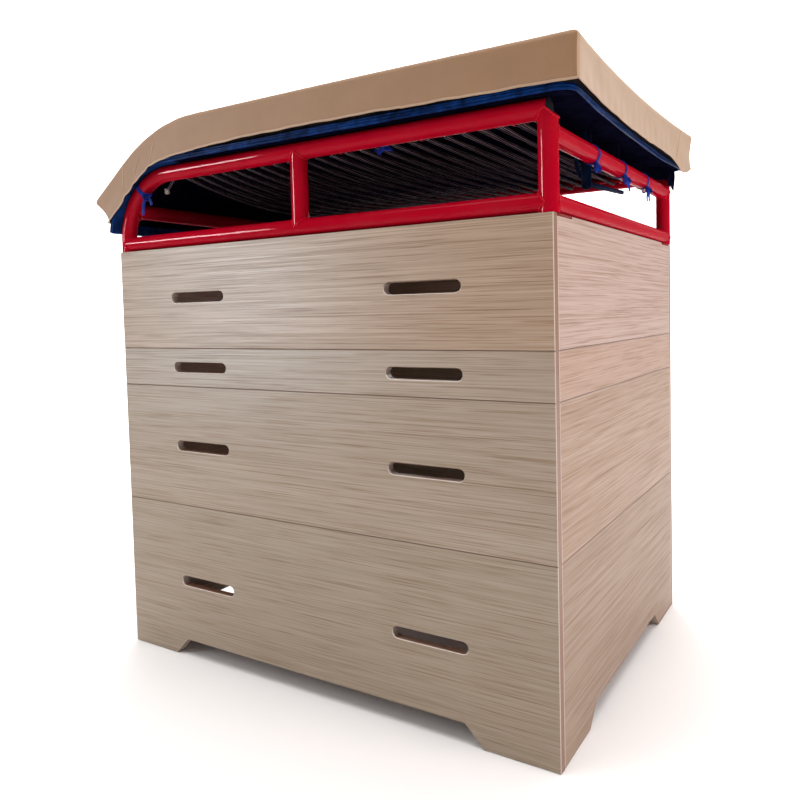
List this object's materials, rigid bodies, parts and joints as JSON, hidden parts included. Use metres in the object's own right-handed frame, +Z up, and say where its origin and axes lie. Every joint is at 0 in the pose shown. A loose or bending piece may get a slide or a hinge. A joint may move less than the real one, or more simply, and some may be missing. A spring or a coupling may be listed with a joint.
{
  "type": "vault trainer",
  "caption": "Stacked plywood vault box with lift-off sections, a steel tube frame with a corded elastic bed on top, and a padded cover that curves down at the run-up end.",
  "frame": {"origin": "on the floor under the middle of the part's bounding box, which is also the middle of the plywood box", "axes": "+Z up; -X towards the nose, the rounded run-up end; +X towards the rear; the right side is -Y and the left side +Y"},
  "size_m": [1.32, 0.95, 1.346],
  "materials": {
    "plywood": "clear matt lacquer over birch-faced plywood",
    "block_wood": "bare sawn softwood",
    "red_paint": "glossy red powder coat",
    "zinc_steel": "zinc plated",
    "dark_plastic": "moulded, fine grain",
    "black_cord": "braided sheath over rubber strands",
    "blue_sheet": "smooth coated fabric",
    "tan_cover": "suede-like imitation leather",
    "foam": "open-cell foam block"
  },
  "bodies": {
    "base_section": {"base_right_panel": "plywood", "base_left_panel": "plywood", "base_nose_panel": "plywood", "base_rear_panel": "plywood", "base_nose_right_block": "block_wood", "base_nose_left_block": "block_wood", "base_rear_right_block": "block_wood", "base_rear_left_block": "block_wood"},
    "third_section": {"third_right_panel": "plywood", "third_left_panel": "plywood", "third_nose_panel": "plywood", "third_rear_panel": "plywood", "third_nose_right_block": "block_wood", "third_nose_left_block": "block_wood", "third_rear_right_block": "block_wood", "third_rear_left_block": "block_wood"},
    "second_section": {"second_right_panel": "plywood", "second_left_panel": "plywood", "second_nose_panel": "plywood", "second_rear_panel": "plywood", "second_nose_right_block": "block_wood", "second_nose_left_block": "block_wood", "second_rear_right_block": "block_wood", "second_rear_left_block": "block_wood"},
    "top_section": {"top_right_panel": "plywood", "top_left_panel": "plywood", "top_nose_panel": "plywood", "top_rear_panel": "plywood", "top_nose_right_block": "block_wood", "top_nose_left_block": "block_wood", "top_rear_right_block": "block_wood", "top_rear_left_block": "block_wood", "right_top_rail": "red_paint", "left_top_rail": "red_paint", "right_bottom_rail": "red_paint", "left_bottom_rail": "red_paint", "right_mid_post": "red_paint", "left_mid_post": "red_paint", "right_rear_post": "red_paint", "left_rear_post": "red_paint", "rear_cross_tube": "red_paint", "rear_bottom_rail": "red_paint", "nose_cross_tube": "red_paint", "nose_bottom_rail": "red_paint", "nose_right_foot_plate": "red_paint", "nose_left_foot_plate": "red_paint", "rear_right_foot_plate": "red_paint", "rear_left_foot_plate": "red_paint", "right_lacing_rod": "red_paint", "left_lacing_rod": "red_paint", "nose_right_frame_bolt": "zinc_steel", "nose_left_frame_bolt": "zinc_steel", "rear_right_frame_bolt": "zinc_steel", "rear_left_frame_bolt": "zinc_steel", "right_rail_plug": "dark_plastic", "left_rail_plug": "dark_plastic", "bed_cord": "black_cord", "base_mat": "blue_sheet", "foam_core": "foam", "pad_cover": "tan_cover"}
  },
  "joints": [
    {"name": "third_lift", "type": "slide", "parent": "base_section", "child": "third_section", "axis": [0, 0, 1], "range_m": [0, 0.05]},
    {"name": "second_lift", "type": "slide", "parent": "third_section", "child": "second_section", "axis": [0, 0, 1], "range_m": [0, 0.05]},
    {"name": "top_lift", "type": "slide", "parent": "second_section", "child": "top_section", "axis": [0, 0, 1], "range_m": [0, 0.05]}
  ]
}
